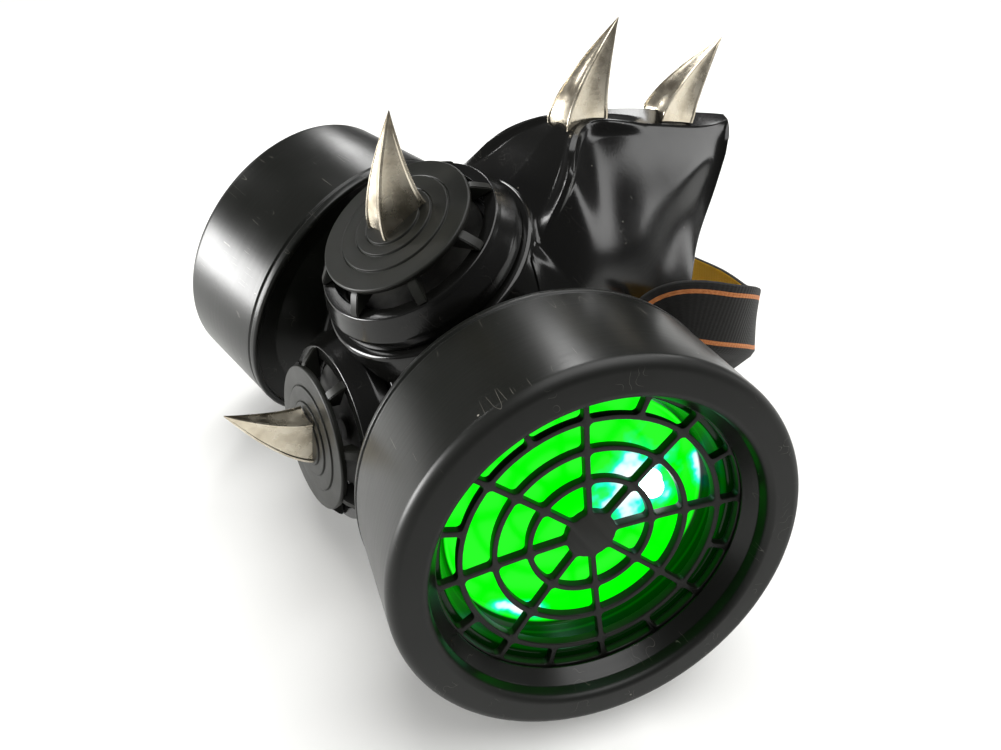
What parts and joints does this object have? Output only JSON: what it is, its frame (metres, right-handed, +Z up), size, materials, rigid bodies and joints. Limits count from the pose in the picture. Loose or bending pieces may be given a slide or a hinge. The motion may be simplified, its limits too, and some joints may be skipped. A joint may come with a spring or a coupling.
{
  "type": "gas mask style costume mask",
  "caption": "Black half mask with large green-lit cheek canisters, round front and chin valves, metal claw spikes and a striped elastic head strap.",
  "frame": {"origin": "on the table under the middle of the whole mask's length and width", "axes": "+Z up from the table, +X to the mask's right-hand canister, +Y towards the nose bridge; the front valve faces up and towards -Y"},
  "size_m": [0.1798, 0.1564, 0.123],
  "materials": {
    "gloss_black": "injection moulded ABS, glossy, fine rubbed scratches",
    "satin_black": "moulded ABS with a soft satin sheen",
    "grille_black": "moulded ABS, matte",
    "green_reflector": "light green plastic bowl, lit from inside",
    "led_lens": "clear moulded lamp lens, lit cold white",
    "flap_rubber": "moulded soft rubber, dull",
    "cast_nickel": "nickel plated casting, polished with slight waves",
    "strap_webbing": "woven elastic, black outside with two orange lines, mustard yellow inside"
  },
  "bodies": {
    "root": {"face_shell": "gloss_black", "canister_housing_right": "gloss_black", "canister_bezel_right": "satin_black", "canister_grille_right": "grille_black", "light_reflector_right": "green_reflector", "led_right": "led_lens", "strap_rivet_right": "satin_black", "canister_housing_left": "gloss_black", "canister_bezel_left": "satin_black", "canister_grille_left": "grille_black", "light_reflector_left": "green_reflector", "led_left": "led_lens", "strap_rivet_left": "satin_black", "valve_cap_front": "satin_black", "valve_housing_front": "satin_black", "valve_flap_front": "flap_rubber", "spike_valve_front": "cast_nickel", "valve_cap_chin": "satin_black", "valve_housing_chin": "satin_black", "valve_flap_chin": "flap_rubber", "spike_valve_chin": "cast_nickel", "spike_nose_lower": "cast_nickel", "spike_nose_upper": "cast_nickel", "head_strap": "strap_webbing"}
  },
  "joints": []
}
